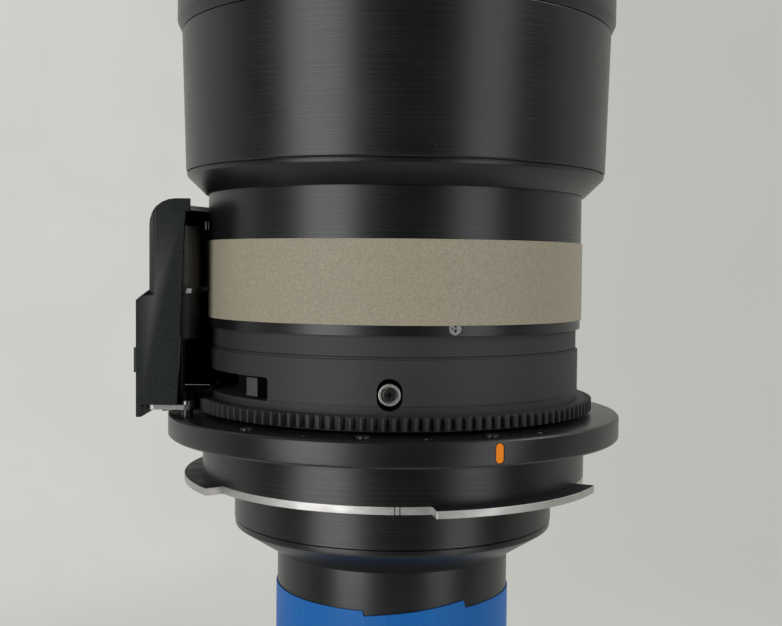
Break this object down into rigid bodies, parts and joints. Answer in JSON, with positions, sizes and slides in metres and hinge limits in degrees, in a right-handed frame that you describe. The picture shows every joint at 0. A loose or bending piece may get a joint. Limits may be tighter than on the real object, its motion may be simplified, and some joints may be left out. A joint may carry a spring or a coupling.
{
  "type": "projection lens",
  "caption": "Motorised zoom projection lens with bayonet flange, geared zoom ring, focus sleeve, side drive unit and hooded front glass.",
  "frame": {"origin": "where the optical axis meets the rear seating face of the mounting flange", "axes": "+Z along the optical axis to the front glass, -X to the drive unit, -Y to the side the picture shows"},
  "size_m": [0.1276, 0.1218, 0.2147],
  "materials": {
    "black_anodised": "satin black anodised, fine turning marks round the axis",
    "black_matt_inner": "matt black anodised inner faces",
    "stainless_plate": "brushed stainless sheet",
    "zinc_screw": "plated steel screws with a cross recess",
    "black_screw": "blackened steel screws",
    "bare_aluminium": "milled bare aluminium",
    "gear_metal": "machined grey gear metal",
    "roller_metal": "turned bearing metal",
    "pinion_brass": "cut brass",
    "white_acetal": "natural white bearing plastic",
    "accent_metal": "champagne grey paint with fine metal flake",
    "index_paint": "orange index paint",
    "frame_sheet": "zinc plated sheet",
    "motor_can": "plated motor can with a cream tint",
    "gearbox_plastic": "black moulded gearbox",
    "circuit_board": "green solder mask",
    "socket_plastic": "natural nylon socket",
    "cover_plastic": "black moulded cover, fine spark texture",
    "tape_blue": "blue creped paper tape",
    "front_glass": "coated front glass",
    "inner_glass": "coated inner glass"
  },
  "bodies": {
    "mount": {"mount_flange": "black_anodised", "mount_spigot": "black_anodised", "bayonet_plate": "stainless_plate", "bayonet_screws": "stainless_plate", "flange_screws": "black_screw", "index_mark": "index_paint", "guide_barrel": "black_anodised", "zoom_stop": "bare_aluminium", "focus_key": "bare_aluminium", "rear_cone": "black_anodised", "rear_tube": "black_anodised", "rear_front_element": "inner_glass", "rear_middle_element": "inner_glass", "rear_end_element": "inner_glass", "rear_spacers": "black_matt_inner", "rear_retaining_ring": "black_matt_inner", "tape_wrap": "tape_blue", "drive_frame": "frame_sheet", "drive_spacers": "zinc_screw", "drive_screws": "zinc_screw", "zoom_motor": "motor_can", "zoom_gearbox": "gearbox_plastic", "focus_motor": "motor_can", "focus_gearbox": "gearbox_plastic", "drive_board": "circuit_board", "board_screws": "zinc_screw", "drive_connector": "socket_plastic", "connector_pins": "pinion_brass", "drive_cover": "cover_plastic", "cover_screws": "black_screw"},
    "zoom_barrel": {"zoom_ring": "black_anodised", "zoom_gear": "gear_metal", "thrust_washer": "white_acetal"},
    "compensator": {"compensator_cell": "black_matt_inner", "compensator_element": "inner_glass", "compensator_retaining_ring": "black_matt_inner", "compensator_rollers": "roller_metal", "compensator_roller_screws": "black_screw"},
    "variator": {"variator_cell": "black_matt_inner", "variator_front_element": "inner_glass", "variator_rear_element": "inner_glass", "variator_retaining_ring": "black_matt_inner", "variator_rollers": "roller_metal", "variator_roller_screws": "black_screw"},
    "focus_barrel": {"focus_sleeve": "black_anodised", "focus_gear": "black_anodised", "accent_band": "accent_metal", "sleeve_screws": "zinc_screw"},
    "front_group": {"front_barrel": "black_anodised", "focus_pins": "zinc_screw", "hood": "black_anodised", "front_ring": "black_anodised", "front_cell": "black_matt_inner", "front_element": "front_glass", "second_element": "inner_glass", "third_element": "inner_glass", "front_retaining_ring": "black_matt_inner"},
    "zoom_drive": {"zoom_pinion": "pinion_brass"},
    "focus_drive": {"focus_pinion": "white_acetal"}
  },
  "joints": [
    {"name": "zoom_ring_turn", "type": "hinge", "parent": "mount", "child": "zoom_barrel", "pos_m": [0, 0, 0.015], "axis": [0, 0, 1], "range_deg": [-5, 50]},
    {"name": "variator_slide", "type": "slide", "parent": "zoom_barrel", "child": "variator", "axis": [0, 0, 1], "range_m": [-0.01402, 0.00142]},
    {"name": "compensator_slide", "type": "slide", "parent": "zoom_barrel", "child": "compensator", "axis": [0, 0, 1], "range_m": [-0.00012, 0.00111]},
    {"name": "focus_ring_turn", "type": "hinge", "parent": "mount", "child": "focus_barrel", "pos_m": [0, 0, 0.045], "axis": [0, 0, 1], "range_deg": [-25, 25]},
    {"name": "front_group_slide", "type": "slide", "parent": "mount", "child": "front_group", "axis": [0, 0, 1], "range_m": [-0.00401, 0.00401]},
    {"name": "zoom_pinion_turn", "type": "hinge", "parent": "mount", "child": "zoom_drive", "pos_m": [-0.05572, -0.015, 0.009], "axis": [0, 0, 1], "range_deg": [-551, 56]},
    {"name": "focus_pinion_turn", "type": "hinge", "parent": "mount", "child": "focus_drive", "pos_m": [-0.05418, 0.0155, 0.0265], "axis": [0, 0, 1], "range_deg": [-163.5, 163.5]}
  ],
  "couplings": [
    {"joint": "variator_slide", "follows": "zoom_ring_turn", "m_per_rad": -0.016043},
    {"joint": "compensator_slide", "follows": "zoom_ring_turn", "m_per_rad": 0.0012605},
    {"joint": "front_group_slide", "follows": "focus_ring_turn", "m_per_rad": 0.0091673},
    {"joint": "zoom_pinion_turn", "follows": "zoom_ring_turn", "ratio": -11},
    {"joint": "focus_pinion_turn", "follows": "focus_ring_turn", "ratio": -6.5}
  ]
}
